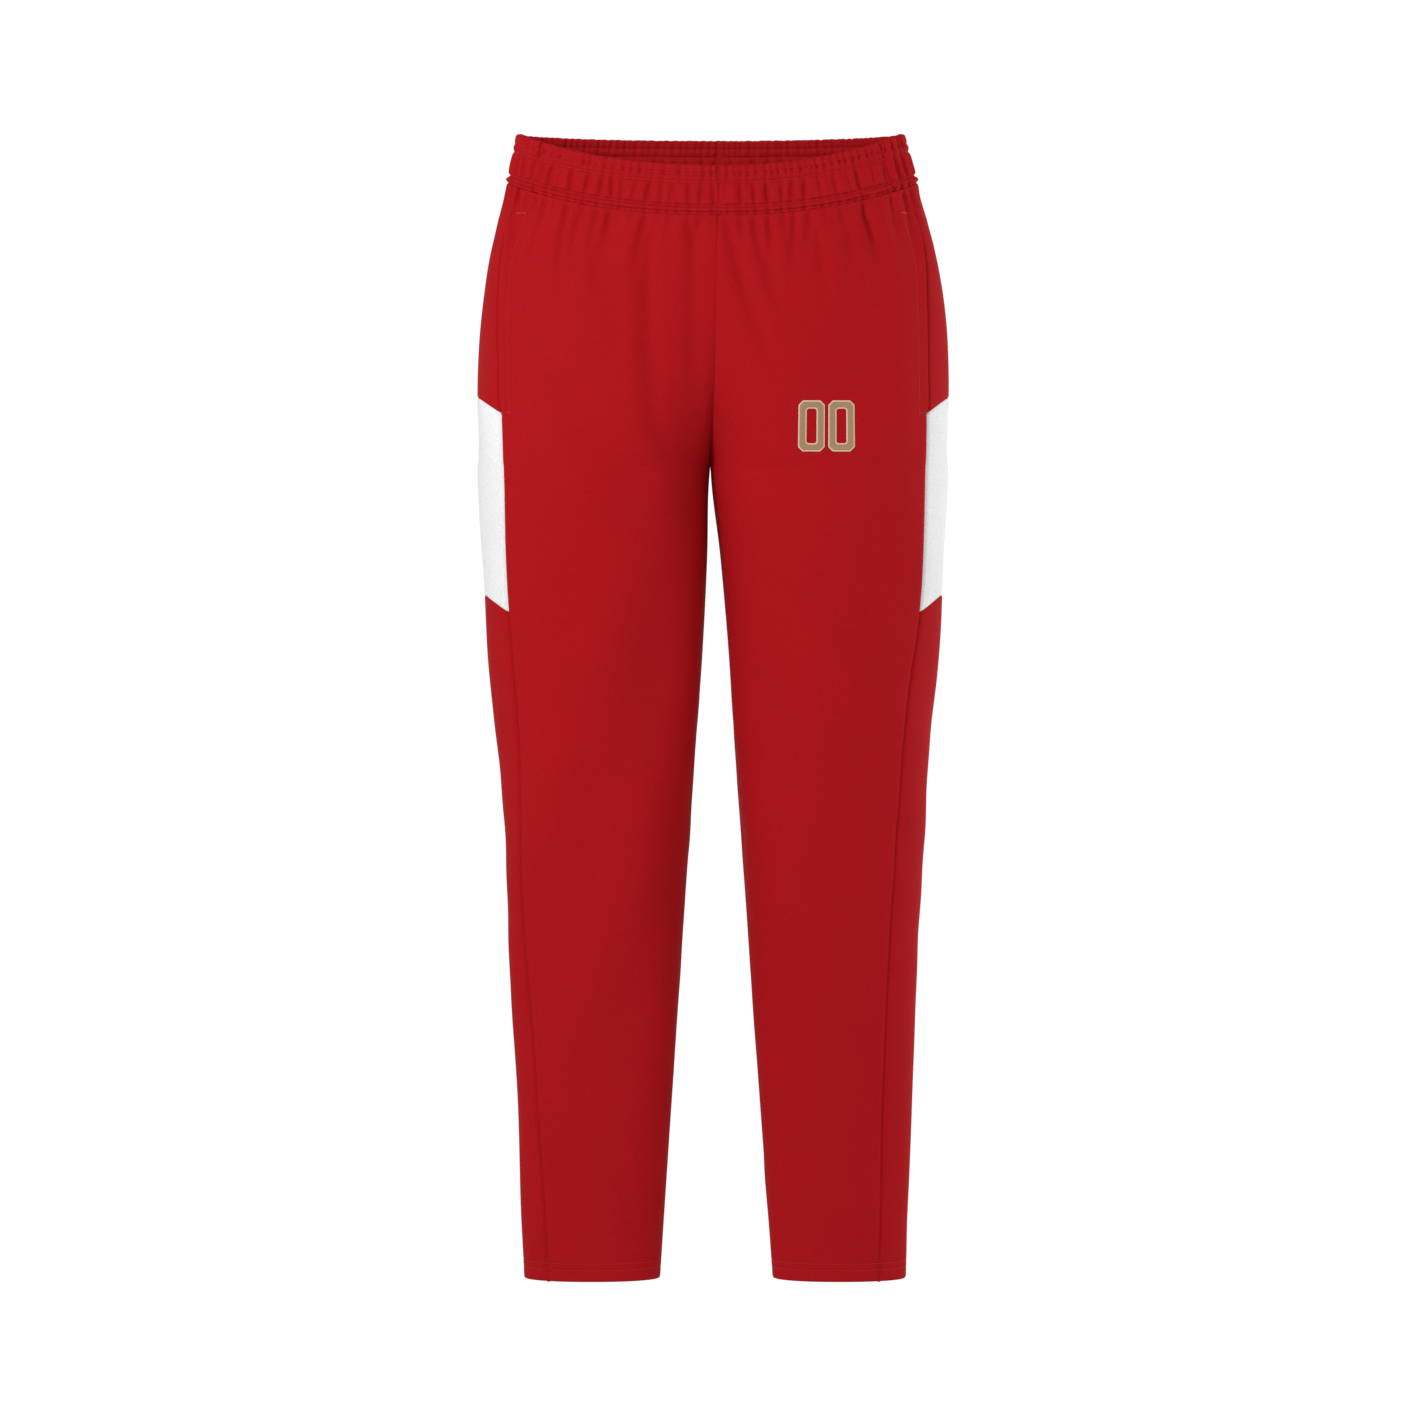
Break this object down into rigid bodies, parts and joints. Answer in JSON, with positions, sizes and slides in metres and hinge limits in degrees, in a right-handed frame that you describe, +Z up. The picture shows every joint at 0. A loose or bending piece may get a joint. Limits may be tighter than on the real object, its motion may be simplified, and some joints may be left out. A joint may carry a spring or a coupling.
{
  "type": "hockey warm-up pants",
  "caption": "Knit warm-up pants with a cased elastic waistband, side panels with contrast inserts, seam pockets and a thigh number.",
  "frame": {"origin": "middle of the waist opening, level with the waistband's top edge at the sides", "axes": "+Z up out of the waist, front of the pants towards -Y, wearer's left towards +X"},
  "size_m": [0.428, 0.1712, 1.037],
  "materials": {
    "shell_knit": "smooth polyester tricot knit, red, very slight sheen",
    "insert_knit": "smooth polyester tricot knit, white",
    "pocket_lining": "thin plain lining knit, red",
    "elastic": "woven elastic, off-white, hidden in the casing",
    "thread": "dense satin stitch, red",
    "number_backing": "heat-pressed film, cream",
    "number_face": "heat-pressed film, old gold"
  },
  "bodies": {
    "root": {"front_panel_left": "shell_knit", "front_panel_right": "shell_knit", "back_panel_left": "shell_knit", "back_panel_right": "shell_knit", "side_panel_upper_left": "shell_knit", "side_panel_upper_right": "shell_knit", "side_insert_left": "insert_knit", "side_insert_right": "insert_knit", "side_panel_lower_left": "shell_knit", "side_panel_lower_right": "shell_knit", "waistband_front_left": "shell_knit", "waistband_front_right": "shell_knit", "waistband_back_left": "shell_knit", "waistband_back_right": "shell_knit", "waist_elastic": "elastic", "pocket_bag_front_left": "pocket_lining", "pocket_bag_front_right": "pocket_lining", "pocket_bag_back_left": "pocket_lining", "pocket_bag_back_right": "pocket_lining", "pocket_facing_left": "shell_knit", "pocket_facing_right": "shell_knit", "pocket_bartack_top_left": "thread", "pocket_bartack_top_right": "thread", "pocket_bartack_bottom_left": "thread", "pocket_bartack_bottom_right": "thread", "number_first_digit_backing": "number_backing", "number_first_digit_face": "number_face", "number_second_digit_backing": "number_backing", "number_second_digit_face": "number_face"}
  },
  "joints": []
}
